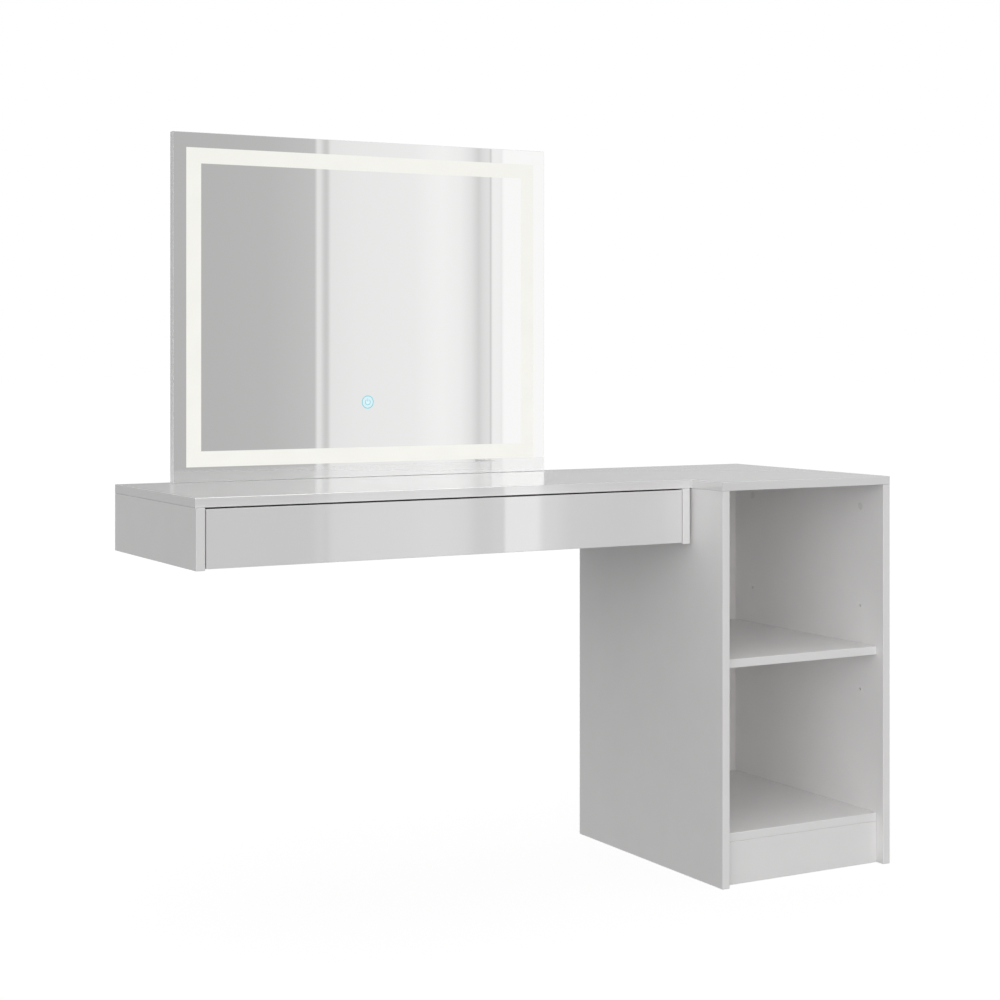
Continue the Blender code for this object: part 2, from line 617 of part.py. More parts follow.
def build_drawer():
    slide = joint_empty("drawer_slide", BOX_MIDDLE, BOX_DEPTH, RUNNER_MIDDLE_HEIGHT)
    box_left = BOX_INNER_LEFT + RUNNER_THICKNESS
    box_right = BOX_INNER_RIGHT - RUNNER_THICKNESS
    box_back = DRAWER_FRONT_BACK - DRAWER_BOX_LENGTH
    inner_left = box_left + DRAWER_BOARD
    inner_right = box_right - DRAWER_BOARD
    groove_low = DRAWER_BOTTOM_LOW - GAP
    groove_high = DRAWER_BOTTOM_LOW + DRAWER_BOTTOM_THICKNESS + GAP

    front = board("drawer_front", BOX_INNER_LEFT + DRAWER_SIDE_GAP,
                  BOX_INNER_RIGHT - DRAWER_SIDE_GAP, DRAWER_FRONT_BACK, BOX_DEPTH,
                  BOX_LOW + DRAWER_LIFT, BOARD_TOP_UNDER - DRAWER_TOP_GAP, GLOSS_WHITE, EDGE, 2)
    cut_box(front, "bottom_groove", inner_left - GROOVE_DEPTH, inner_right + GROOVE_DEPTH,
            DRAWER_FRONT_BACK - REACH, DRAWER_FRONT_BACK + GROOVE_DEPTH, groove_low, groove_high)

    side_front = DRAWER_FRONT_BACK - GAP
    left_side = board("drawer_side_left", box_left, inner_left, box_back, side_front,
                      DRAWER_BOX_LOW, DRAWER_BOX_HIGH, DRAWER_GREY)
    cut_box(left_side, "bottom_groove", inner_left - GROOVE_DEPTH, inner_left + REACH,
            box_back - REACH, side_front + REACH, groove_low, groove_high)
    right_side = board("drawer_side_right", inner_right, box_right, box_back, side_front,
                       DRAWER_BOX_LOW, DRAWER_BOX_HIGH, DRAWER_GREY)
    cut_box(right_side, "bottom_groove", inner_right - REACH, inner_right + GROOVE_DEPTH,
            box_back - REACH, side_front + REACH, groove_low, groove_high)

    back = board("drawer_back", inner_left + GAP, inner_right - GAP, box_back,
                 box_back + DRAWER_BOARD, groove_high, DRAWER_BOX_HIGH, DRAWER_GREY)
    tongue = GROOVE_DEPTH - GAP
    bottom = box_object("drawer_bottom", inner_left - tongue, inner_right + tongue,
                        box_back + GAP, DRAWER_FRONT_BACK + tongue,
                        DRAWER_BOTTOM_LOW, DRAWER_BOTTOM_LOW + DRAWER_BOTTOM_THICKNESS,
                        DRAWER_GREY)
    for piece in (front, left_side, right_side, back, bottom):
        hang_on(piece, slide)
    build_runners(slide)


# Mirror ------------------------------------------------------------------------------

def build_mirror():
    """Glass with a light band set in its face, on a frame that holds the light."""
    half_width = MIRROR_WIDTH / 2
    half_height = (MIRROR_HIGH - MIRROR_LOW) / 2
    middle_height = (MIRROR_HIGH + MIRROR_LOW) / 2
    glass = board("mirror_glass", MIRROR_LEFT, MIRROR_RIGHT, GLASS_BACK, MIRROR_FRONT,
                  MIRROR_LOW, MIRROR_HIGH, SILVERED)

    band_half_width = half_width - BAND_MARGIN_SIDE
    band_half_height = half_height - BAND_MARGIN_END
    channel_cutter = ring("mirror_glass_band_channel", band_half_width, band_half_height,
                          BAND_WIDTH, 2 * BAND_DEPTH, None, CUTTERS)
    stand_upright(channel_cutter, MIRROR_MIDDLE, MIRROR_FRONT, middle_height)
    cut(glass, channel_cutter)
    band_thickness = BAND_DEPTH - GAP
    band = ring("light_band", band_half_width - GAP, band_half_height - GAP,
                BAND_WIDTH - 2 * GAP, band_thickness, LIGHT_BAND)
    stand_upright(band, MIRROR_MIDDLE, MIRROR_FRONT - band_thickness / 2, middle_height)

    frame = ring("mirror_frame", half_width, half_height, MIRROR_FRAME_WIDTH,
                 MIRROR_FRAME_DEPTH, FRAME_WHITE)
    stand_upright(frame, MIRROR_MIDDLE, (FRAME_FRONT + FRAME_BACK) / 2, middle_height)
    round_edges(frame)

    inset = MIRROR_FRAME_WIDTH + GAP
    box_object("mirror_back_plate", MIRROR_LEFT + inset, MIRROR_RIGHT - inset,
               FRAME_BACK, FRAME_BACK + BACK_PLATE,
               MIRROR_LOW + inset, MIRROR_HIGH - inset, FRAME_WHITE)
    build_light(half_width, half_height, middle_height, FRAME_BACK + BACK_PLATE + GAP)
    build_brackets()


def build_light(half_width, half_height, middle_height, plate_face):
    """Lamp strip behind the band, touch sensor on the glass, driver and inlet behind."""
    strip = ring("led_strip", half_width - LED_STRIP_INSET, half_height - LED_STRIP_INSET,
                 LED_STRIP_WIDTH, LED_STRIP_THICKNESS, CIRCUIT)
    stand_upright(strip, MIRROR_MIDDLE, plate_face + LED_STRIP_THICKNESS / 2, middle_height)

    sensor_front = GLASS_BACK - GAP
    board("touch_sensor", MIRROR_MIDDLE - SENSOR_HALF, MIRROR_MIDDLE + SENSOR_HALF,
          sensor_front - SENSOR_THICKNESS, sensor_front, TOUCH_HEIGHT - SENSOR_HALF,
          TOUCH_HEIGHT + SENSOR_HALF, CIRCUIT, SHEET_EDGE)

    behind = FRAME_BACK - GAP
    board("led_driver", DRIVER_LEFT, DRIVER_RIGHT, behind - DRIVER_DEPTH, behind,
          DRIVER_LOW, DRIVER_HIGH, BLACK_PLASTIC, DRIVER_ROUNDING)
    inlet = board("power_inlet", INLET_LEFT, INLET_RIGHT, behind - INLET_DEPTH, behind,
                  INLET_LOW, INLET_HIGH, BLACK_PLASTIC)
    drill(inlet, "plug_bore", ((INLET_LEFT + INLET_RIGHT) / 2, behind - INLET_DEPTH / 2,
                               INLET_LOW + (PLUG_DEPTH - REACH) / 2),
          PLUG_RADIUS, PLUG_DEPTH + REACH, "z")


def build_brackets():
    """Angle plates behind the mirror: one leg on its frame, one on the table top."""
    face = FRAME_BACK - GAP
    low = TABLE_HEIGHT + GAP
    high = low + BRACKET_HEIGHT
    section = [(-BRACKET_BACK, low), (-face, low), (-face, high),
               (-face + BRACKET_METAL, high), (-face + BRACKET_METAL, low + BRACKET_METAL),
               (-BRACKET_BACK, low + BRACKET_METAL)]
    for hand, from_left in (("left", BRACKET_FROM_END), ("right", PEDESTAL_LEFT - BRACKET_FROM_END)):
        bracket = outline_object(f"mirror_bracket_{hand}", [section], BRACKET_WIDTH, ZINC)
        # The section's first coordinate becomes world Y measured from the wall
        bracket.rotation_euler = (pi / 2, 0, pi / 2)
        bracket.location = place(from_left, 0, 0)
        round_edges(bracket, SHEET_EDGE)
        for label, up in BRACKET_SCREWS.items():
            drill(bracket, f"{label}_screw_hole", (from_left, face - BRACKET_METAL / 2, low + up),
                  BRACKET_HOLE_RADIUS, BRACKET_METAL + 2 * REACH, "y")


def build():
    top = build_top()
    pedestal_side = build_pedestal(top)
    build_drawer_box(top, pedestal_side)
    build_drawer()
    build_mirror()


build()
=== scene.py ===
"""Looks of the wall-fixed vanity table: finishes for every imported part, and finer pieces
for the mirror's glass and light band, the touch mark, the fittings and the runners.

Units are metres, +X right along the wall, +Y into the wall, +Z up.
"""

import json
from math import cos, pi, radians, sin

import bmesh
import bpy
from mathutils import Matrix, Vector


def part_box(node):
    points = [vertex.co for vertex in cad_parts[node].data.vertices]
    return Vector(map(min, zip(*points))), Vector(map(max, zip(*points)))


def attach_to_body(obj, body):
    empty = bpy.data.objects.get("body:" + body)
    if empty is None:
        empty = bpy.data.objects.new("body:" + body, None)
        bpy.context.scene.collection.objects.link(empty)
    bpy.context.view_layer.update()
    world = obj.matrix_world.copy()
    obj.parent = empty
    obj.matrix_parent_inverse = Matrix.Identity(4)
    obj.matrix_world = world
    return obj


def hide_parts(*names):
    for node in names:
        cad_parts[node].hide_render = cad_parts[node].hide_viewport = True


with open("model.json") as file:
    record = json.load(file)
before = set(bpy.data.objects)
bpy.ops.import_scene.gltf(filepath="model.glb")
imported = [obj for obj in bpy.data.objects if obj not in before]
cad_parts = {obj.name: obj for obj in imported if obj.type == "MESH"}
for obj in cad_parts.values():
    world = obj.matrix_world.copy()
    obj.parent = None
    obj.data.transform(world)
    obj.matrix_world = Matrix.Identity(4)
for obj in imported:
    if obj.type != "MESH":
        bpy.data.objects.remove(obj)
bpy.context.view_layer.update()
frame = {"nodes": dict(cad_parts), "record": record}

NODES = frame["nodes"]

# Camera ------------------------------------------------------------------------------
CAMERA_PLACE = (-1.9033, -3.3196, 0.9923)
CAMERA_YAW = 29.413             # degrees from +Y towards +X
CAMERA_LENS = 73.386            # millimetres
CAMERA_DROP = -0.149025         # picture shifted down, so that upright edges stay upright
SENSOR_WIDTH = 36.0             # millimetres
CAMERA_REACH = 200.0            # metres

# Light: wide lobes of the soft studio sky, as (direction, narrowness, radiance)
SKY = {
    "up": ((0, 0, 1), 2, 1.12),
    "down": ((0, 0, -1), 2, 0.02),
    "front": ((0, -1, 0), 2, 0.22),
    "back": ((0, 1, 0), 2, 0.50),
    "right": ((1, 0, 0), 2, 0.35),
    "front_left": ((-0.6, -0.8, 0), 6, 2.60),
}
BACKDROP = 1.0                  # radiance that the camera sees behind the table
FLOOR_TONE = 0.16               # how much of the sky's light the floor gives back
FLOOR_GLOW = 0.89               # brings the open floor up to the backdrop
FLOOR_RADIUS = 60.0
FLOOR_SIDES = 96

# What polished faces reflect: (degrees round from the front towards the right, radiance)
MIRROR_BANDS = (
    (20.0, 0.475), (21.5, 0.485), (22.9, 0.500), (24.0, 0.545), (24.22, 0.555), (24.30, 0.80),
    (24.38, 0.78), (24.44, 0.69), (24.50, 0.615), (24.58, 0.615), (24.66, 0.81), (25.4, 0.840),
    (27.0, 0.865), (27.4, 0.900), (27.8, 0.920), (28.3, 0.885), (28.6, 0.800), (28.82, 0.665),
    (28.92, 0.735), (29.05, 0.780), (29.11, 0.770), (29.15, 0.620), (29.20, 0.900),
    (29.40, 0.895), (29.46, 0.860), (29.51, 0.985), (31.0, 0.985),
)
GLOSS_BANDS = (
    (21.0, 0.35), (24.1, 0.36), (24.36, 0.95), (24.52, 0.60), (24.75, 1.50), (25.6, 1.70),
    (26.8, 1.80), (27.4, 2.06), (27.9, 2.00), (28.4, 1.80), (28.8, 0.85), (29.1, 0.90),
    (29.3, 1.15), (29.52, 1.15), (29.58, 3.35), (30.45, 3.40), (30.65, 1.75), (31.0, 1.45),
    (31.4, 0.80), (32.0, 0.60), (33.0, 0.35), (35.0, 0.30),
)
ROOM_TONES = (
    (-180, 0.52), (-150, 0.52), (-90, 0.55), (-20, 0.50), (20, 0.48), (36, 0.80), (60, 0.80),
    (100, 0.70), (135, 0.62), (145, 0.58), (155, 0.48), (165, 0.40), (180, 0.50),
)
BAND_AZIMUTH = (20.0, 35.0)     # degrees, stretch that the two fine sets of bands cover
BAND_FADE = (4.0, 3.0)          # degrees, their fade before that stretch and after it
GLOSS_BELOW = -3.5              # degrees of elevation: lower than this the second set shows
GLOSS_BORDER = 0.05             # half the width of the border between the two sets
BAND_FOOT = (-16.0, -8.0)       # degrees of elevation over which the bands fade in
BAND_HEAD = (30.0, 12.0)        # and over which they fade out again
SOFTBOX = 5.0                   # radiance of the overhead box that rounded edges catch
SOFTBOX_LOW, SOFTBOX_HIGH = 34.0, 66.0      # degrees of elevation
SOFTBOX_FADE = 4.0              # degrees, inside those limits
SOFTBOX_AHEAD = 0.15            # forward part of the direction at which it shows in full

# Mirror
GLASS_BEVEL = 0.0006
BAND_SIDE_MARGIN = 0.0255       # glass outside the light band, at the sides
BAND_END_MARGIN = 0.0280        # and above and below it
BAND_WIDTH = 0.0290
BAND_DEPTH = 0.0008
TOUCH_HEIGHT = 0.894            # of the touch mark's middle, above the floor
TOUCH_RADIUS = 0.0118
TOUCH_LINE = 0.0015
TOUCH_SIDES = 64
SIGN = 0.45                     # on-off sign's radius as a part of the ring's
SIGN_BAR = (0.75, 1.1)          # its bar's middle and length as parts of the sign's radius
SIGN_START, SIGN_END = 32, 328  # degrees clockwise from the top
SIGN_STEPS = 40
HALO = (1.16, 1.15)             # lit field's radii, rear and front, as parts of the ring's
HALO_THICKNESS = 0.8            # as a part of HAIR
HALO_REACH = (0.2, 1.35)        # its light falls off between these parts of the ring's radius
HALO_LIGHT = (0.95, 0.85)       # from the first strength to the second
HAIR = 0.00006                  # thickness of a printed layer

# Fittings
GAP = 0.0003                    # left between pieces that touch
SHARP = 32                      # degrees: edges that bend more than this stay sharp
TURNED_SIDES = 48
CAM_FRONT = 0.0018              # solid front of a cam, before the bolt's slot begins
CAM_RIM = 0.0003
CAM_ARROW = ((-0.0007, 0.0052), (0.0007, 0.0052), (0.0, 0.0065))
CAM_SLOT_HALF = 0.0037
CAM_SLOT_MOUTH = 0.85           # height of the slot's corners as a part of the cam's radius
CROSS_HALF = 0.00425
CROSS_ARM = 0.0008
CROSS_DEPTH = 0.0016
SOCKET_TAPER = 0.85             # size of a socket's floor as a part of its mouth
# White cap over a pedestal cam, from its dimple to its back: (radius, depth below the board)
CAM_CAP = ((0.0022, 0.0005), (0.0026, 0.0002), (0.0068, 0.0002), (0.0073, 0.0006),
           (0.0073, 0.0024))
CAM_SETBACK = 0.0025            # cam's face below the board's face
BRACKET_SCREW_HEIGHTS = {"low": 0.0283, "high": 0.0483}     # above the bracket's foot
BRACKET_METAL = 0.002
# Screw head from its edge on the plate to its flat face: (radius, height)
PAN_HEAD = ((0.0036, 0.0), (0.0036, 0.0005), (0.0033, 0.0011), (0.0025, 0.0016), (0.0021, 0.0017))
SCREW_SIDES = 32
SCREW_SHANK = 0.0018            # radius
SCREW_CROSS = (0.0017, 0.00035)             # half length and half width of its arms
SCREW_CROSS_FLOOR = 0.0007                  # above the plate that the screw holds
HEX_SOCKET = 0.0029             # from its middle to a corner
HEX_DEPTH = 0.0014
BOLT_SHANK = 0.0030             # radius
BOLT_HEAD = 0.0020
# Rounded bolt head: radius taken off it, and depth below its face
BOLT_CROWN = ((0.0, 0.0012), (0.0004, 0.0005), (0.0014, 0.0))
DRIVER_EDGE = 0.0024
DRIVER_EDGE_STEPS = 4
DRIVER_RIBS = 9
DRIVER_RIB = 0.0008             # height of the ribs
DRIVER_RIB_WIDTH = 0.0022
DRIVER_RIB_EDGE = 0.0004
DRIVER_RIB_STEPS = 2
RIBS_SPAN, RIBS_LENGTH = 0.55, 0.62         # as parts of the case's width and height
BALL = 0.0013                   # radius
BALL_PITCH = 0.0062
BALLS = 9                       # at either end of a row
BALLS_FROM_END = 0.016
# Rows of balls: distance from the drawer box's side, and from the runner's middle height
BALL_ROWS = ((0.0062, 0.0199), (0.0080, 0.0159))
CARRIER_THICKNESS, CARRIER_HEIGHT = 0.0006, 0.0019


# Node helpers ------------------------------------------------------------------------

def attach(tree, socket, value):
    if isinstance(value, bpy.types.NodeSocket):
        tree.links.new(value, socket)
    else:
        socket.default_value = value


def node(tree, kind, inputs=None, **settings):
    made = tree.nodes.new("ShaderNode" + kind)
    for key, value in settings.items():
        setattr(made, key, value)
    for key, value in (inputs or {}).items():
        attach(tree, made.inputs[key], value)
    return made


def calc(tree, operation, *values):
    made = node(tree, "Math", operation=operation)
    for socket, value in zip(made.inputs, values):
        attach(tree, socket, value)
    return made.outputs[0]


def smooth_step(tree, value, low, high, to_low=0.0, to_high=1.0):
    made = node(tree, "MapRange", {"Value": value, "From Min": low, "From Max": high,
                                   "To Min": to_low, "To Max": to_high},
                interpolation_type="SMOOTHSTEP")
    return made.outputs["Result"]


def ramp(tree, factor, stops):
    """Colour ramp over 0 to 1 from (place, grey or colour) stops."""
    made = node(tree, "ValToRGB", {"Fac": factor})
    elements = made.color_ramp.elements
    while len(elements) < len(stops):
        elements.new(1.0)
    for element, (place, tone) in zip(elements, stops):
        element.position = place
        colour = tone if isinstance(tone, tuple) else (tone, tone, tone)
        element.color = (*colour, 1.0)
    return made.outputs["Color"]


def ramp_between(tree, value, stops):
    """Colour ramp whose stops are given in the value's own units."""
    low, high = stops[0][0], stops[-1][0]
    factor = node(tree, "MapRange", {"Value": value, "From Min": low, "From Max": high})
    spread = [((place - low) / (high - low), tone) for place, tone in stops]
    return ramp(tree, factor.outputs["Result"], spread)


def blend_colours(tree, factor, first, second):
    made = node(tree, "Mix", data_type="RGBA")
    attach(tree, made.inputs["Factor"], factor)
    attach(tree, made.inputs[6], first)
    attach(tree, made.inputs[7], second)
    return made.outputs[2]


def place_of(tree):
    return node(tree, "TexCoord").outputs["Object"]


def noise(tree, scale, detail=2.0, stretch=None, roughness=0.5):
    vector = place_of(tree)
    if stretch:
        vector = node(tree, "Mapping", {"Vector": vector, "Scale": stretch}).outputs["Vector"]
    made = node(tree, "TexNoise", {"Vector": vector, "Scale": scale, "Detail": detail,
                                   "Roughness": roughness})
    return made.outputs["Fac"]


def bump(tree, height, distance, strength=1.0, under=None):
    made = node(tree, "Bump", {"Height": height, "Distance": distance, "Strength": strength})
    if under:
        tree.links.new(under, made.inputs["Normal"])
    return made.outputs["Normal"]


def finish_material(name, values):
    """Principled material; values may be numbers, colours or functions of the node tree."""
    made = bpy.data.materials.new(name)
    made.use_nodes = True
    tree = made.node_tree
    shader = tree.nodes["Principled BSDF"]
    for key, value in values.items():
        attach(tree, shader.inputs[key], value(tree) if callable(value) else value)
    return made


def tinted(colour, spread, scale, detail=3.0, stretch=None):
    """Colour that drifts a little either way over the surface."""
    dark = tuple(c * (1 - spread) for c in colour)
    light = tuple(min(1.0, c * (1 + spread)) for c in colour)
    return lambda tree: ramp(tree, noise(tree, scale, detail, stretch), ((0.3, dark), (0.7, light)))


def varied(low, high, scale, detail=2.0, stretch=None):
    """Grey value between low and high that follows a noise, for roughness."""
    return lambda tree: smooth_step(tree, noise(tree, scale, detail, stretch), 0.3, 0.7, low, high)


# Materials ---------------------------------------------------------------------------

GLOSS_TONE = (0.860, 0.853, 0.855)
SATIN_TONE = (0.900, 0.892, 0.889)


def gloss_white():
    """High-gloss faced board: a clear, almost flat coat over a soft white."""
    def coat_normal(tree):
        return bump(tree, noise(tree, 160, 1.0), 0.000004, 0.35)

    return finish_material("gloss_white_lacquer", {
        "Base Color": tinted(GLOSS_TONE, 0.006, 9),
        "Roughness": varied(0.28, 0.34, 60),
        "Normal": lambda tree: bump(tree, noise(tree, 2400, 1.0), 0.000004, 0.5),
        "Coat Weight": 1.0, "Coat Roughness": 0.012, "Coat IOR": 1.70,
        "Coat Normal": coat_normal,
        "Specular IOR Level": 0.2})


def satin_white():
    """Melamine facing with the fine pearl grain that is pressed into it."""
    def grain(tree):
        pearl = node(tree, "TexVoronoi", {"Vector": place_of(tree), "Scale": 1150.0},
                     feature="SMOOTH_F1").outputs["Distance"]
        fine = bump(tree, noise(tree, 5200, 2.0), 0.000006, 0.5)
        return bump(tree, pearl, 0.00003, 0.35, fine)

    return finish_material("satin_white_melamine", {
        "Base Color": tinted(SATIN_TONE, 0.010, 14),
        "Roughness": varied(0.36, 0.46, 420),
        "Normal": grain, "Specular IOR Level": 0.45})


def back_white():
    """Thin painted hardboard with a faint roller texture."""
    return finish_material("back_white_paint", {
        "Base Color": tinted((0.865, 0.85, 0.835), 0.018, 22),
        "Roughness": varied(0.48, 0.60, 300),
        "Normal": lambda tree: bump(tree, noise(tree, 900, 3.0, (1, 1, 0.35)), 0.00004, 0.5)})


def drawer_grey():
    """Light grey foil with a printed linen weave."""
    def threads(tree, way):
        return node(tree, "TexWave", {"Vector": place_of(tree), "Scale": 260.0,
                                      "Distortion": 1.2, "Detail": 2.0},
                    bands_direction=way).outputs["Fac"]

    def weave_height(tree):
        return calc(tree, "MULTIPLY", threads(tree, "Y"), threads(tree, "Z"))

    def colour(tree):
        return ramp(tree, weave_height(tree), ((0.0, (0.50, 0.50, 0.49)),
                                               (0.8, (0.60, 0.60, 0.585))))

    return finish_material("drawer_grey_linen", {
        "Base Color": colour, "Roughness": varied(0.42, 0.55, 350),
        "Normal": lambda tree: bump(tree, weave_height(tree), 0.00003, 0.5)})


def drawn_metal(name, colour, low, high, stretch, scratch=0.000006):
    """Plated sheet or turned metal with fine lines and cloudy plating."""
    return finish_material(name, {
        "Base Color": tinted(colour, 0.10, 65, 4.0),
        "Metallic": 1.0,
        "Roughness": varied(low, high, 500, 3.0, stretch),
        "Normal": lambda tree: bump(tree, noise(tree, 900, 2.0, stretch), scratch, 0.5)})


def zinc():
    return drawn_metal("zinc_plate", (0.60, 0.605, 0.60), 0.24, 0.44, (1, 0.06, 1))


def steel():
    return drawn_metal("nickel_plate", (0.58, 0.575, 0.56), 0.16, 0.30, (1, 1, 1), 0.000003)


def moulded(name, colour, low, high, grain=0.00002):
    return finish_material(name, {
        "Base Color": tinted(colour, 0.03, 120),
        "Roughness": varied(low, high, 700),
        "Normal": lambda tree: bump(tree, noise(tree, 3200, 1.5), grain, 0.6)})


def silvered():
    """Silvered glass: next to no roughness, with the slow waviness of float glass."""
    return finish_material("silvered_glass", {
        "Base Color": tinted((0.950, 0.950, 0.945), 0.004, 2.5, 1.0),
        "Metallic": 1.0,
        "Roughness": varied(0.000, 0.006, 30),
        "Normal": lambda tree: bump(tree, noise(tree, 4.0, 1.0), 0.00001, 0.25)})


def polished_edge():
    return finish_material("polished_glass_edge", {
        "Base Color": tinted((0.82, 0.84, 0.83), 0.05, 40, 2.0, (1, 1, 0.1)),
        "Roughness": varied(0.05, 0.16, 300), "Specular IOR Level": 0.6})


def mirror_backing():
    return finish_material("mirror_backing_paint", {
        "Base Color": tinted((0.30, 0.31, 0.32), 0.06, 35),
        "Roughness": varied(0.45, 0.60, 200),
        "Normal": lambda tree: bump(tree, noise(tree, 700, 2.0), 0.00003, 0.5)})


def lit_band():
    """Sand-blasted glass lit from behind, not quite evenly."""
    def glow(tree):
        return ramp(tree, noise(tree, 18, 1.0), ((0.3, (0.805, 0.800, 0.755)),
                                                  (0.7, (0.825, 0.820, 0.775))))

    return finish_material("lit_frosted_band", {
        "Base Color": tinted((0.10, 0.10, 0.095), 0.05, 900),
        "Roughness": varied(0.50, 0.65, 1500),
        "Normal": lambda tree: bump(tree, noise(tree, 2600, 2.0), 0.00002, 0.5),
        "Specular IOR Level": 0.2,
        "Emission Color": glow, "Emission Strength": 1.0})


def circuit():
    """White solder mask, a little uneven."""
    return finish_material("white_circuit_board", {
        "Base Color": tinted((0.70, 0.69, 0.64), 0.06, 240),
        "Roughness": varied(0.25, 0.42, 500)})


def touch_stroke():
    return finish_material("touch_mark_lines", {
        "Base Color": tinted((0.10, 0.30, 0.34), 0.10, 700),
        "Roughness": 0.4,
        "Emission Color": (0.20, 0.45, 0.50, 1.0), "Emission Strength": 0.80})


def touch_glow():
    """Soft light around the touch mark's lines, strongest in the middle."""
    middle = touch_place()

    def strength(tree):
        offset = node(tree, "VectorMath", {0: place_of(tree), 1: middle}, operation="SUBTRACT")
        reach = node(tree, "VectorMath", {0: offset.outputs["Vector"]}, operation="LENGTH")
        near, far = (part * TOUCH_RADIUS for part in HALO_REACH)
        return smooth_step(tree, reach.outputs["Value"], near, far, *HALO_LIGHT)

    return finish_material("touch_mark_glow", {
        "Base Color": tinted((0.05, 0.06, 0.06), 0.05, 700),
        "Roughness": 0.5, "Specular IOR Level": 0.0,
        "Emission Color": (0.74, 0.92, 0.98, 1.0), "Emission Strength": strength})


def dress(slots):
    """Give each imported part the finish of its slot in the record."""
    for part in frame["record"]["subparts"]:
        made = slots[part["material_slot"]]
        obj = NODES[part["node"]]
        obj.data.materials.clear()
        obj.data.materials.append(made)


# Shapes ------------------------------------------------------------------------------

def mesh_object(name, shape, materials, smooth=True):
    mesh = bpy.data.meshes.new(name)
    bmesh.ops.recalc_face_normals(shape, faces=shape.faces)
    shape.to_mesh(mesh)
    shape.free()
    for made in materials:
        mesh.materials.append(made)
    obj = bpy.data.objects.new(name, mesh)
    bpy.context.scene.collection.objects.link(obj)
    if smooth:
        mesh.shade_smooth()
        mesh.set_sharp_from_angle(angle=radians(SHARP))
    return obj


def rectangle_loop(shape, middle, half_width, half_height, y):
    corners = ((-1, -1), (1, -1), (1, 1), (-1, 1))
    return [shape.verts.new((middle.x + i * half_width, y, middle.z + j * half_height))
            for i, j in corners]


def bridge(shape, first, second, material_index=0):
    count = len(first)
    for i in range(count):
        j = (i + 1) % count
        face = shape.faces.new((first[i], first[j], second[j], second[i]))
        face.material_index = material_index


def glass_box():
    low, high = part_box("mirror_glass")
    return low, high, (low + high) / 2


def touch_place():
    low, _, middle = glass_box()
    return Vector((middle.x, low.y, TOUCH_HEIGHT))


def band_edges():
    """Half width and half height of the light band, outside and inside."""
    low, high, _ = glass_box()
    half = (high - low) / 2
    outer = (half.x - BAND_SIDE_MARGIN, half.z - BAND_END_MARGIN)
    return outer, (outer[0] - BAND_WIDTH, outer[1] - BAND_WIDTH)


def build_mirror_sheet(silver, edge, backing):
    """Glass sheet with a ground edge and a shallow ring-shaped bed for the light band."""
    low, high, middle = glass_box()
    half = (high - low) / 2
    front, back = low.y, high.y
    floor = front + BAND_DEPTH
    band_outer, band_inner = band_edges()
    shape = bmesh.new()
    steps = (
        (half.x - GLASS_BEVEL, half.z - GLASS_BEVEL, back, 1),
        (half.x, half.z, back - GLASS_BEVEL, 1),
        (half.x, half.z, front + GLASS_BEVEL, 1),
        (half.x - GLASS_BEVEL, half.z - GLASS_BEVEL, front, 0),
        (*band_outer, front, 0),
        (*band_outer, floor, 0),
        (*band_inner, floor, 0),
        (*band_inner, front, 0),
    )
    loops = [rectangle_loop(shape, middle, width, height, y) for width, height, y, _ in steps]
    for (first, second), step in zip(zip(loops, loops[1:]), steps):
        bridge(shape, first, second, step[3])
    rear = shape.faces.new(loops[0])
    rear.material_index = 2
    shape.faces.new(loops[-1])
    sheet = mesh_object("mirror_sheet", shape, (silver, edge, backing), smooth=False)
    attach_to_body(sheet, "root")
    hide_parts("mirror_glass")


def build_band(glow):
    """The frosted band, flush in the face of the glass."""
    low, _, middle = glass_box()
    front, floor = low.y, low.y + BAND_DEPTH
    outer, inner = band_edges()
    shape = bmesh.new()
    loops = [rectangle_loop(shape, middle, *size, y) for size, y in
             ((outer, front), (outer, floor), (inner, floor), (inner, front))]
    for first, second in zip(loops, loops[1:] + loops[:1]):
        bridge(shape, first, second)
    band = mesh_object("frosted_band", shape, (glow,), smooth=False)
    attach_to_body(band, "root")
    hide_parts("light_band")


def arc_ribbon(shape, radius, width, start, end, steps, y_front, y_back, middle):
    """Closed flat ribbon along an arc in the glass's plane; a full turn makes a ring."""
    full = abs(end - start) >= 2 * pi - 1e-6
    count = steps if full else steps + 1
    rows = []
    for i in range(count):
        angle = start + (end - start) * i / steps
        across, up = sin(angle), cos(angle)
        rows.append([shape.verts.new((middle.x + r * across, y, middle.z + r * up))
                     for r, y in ((radius + width / 2, y_front), (radius - width / 2, y_front),
                                  (radius - width / 2, y_back), (radius + width / 2, y_back))])
    for i in range(steps):
        bridge(shape, rows[i], rows[(i + 1) % count])
    if not full:
        shape.faces.new(rows[0])
        shape.faces.new(list(reversed(rows[-1])))


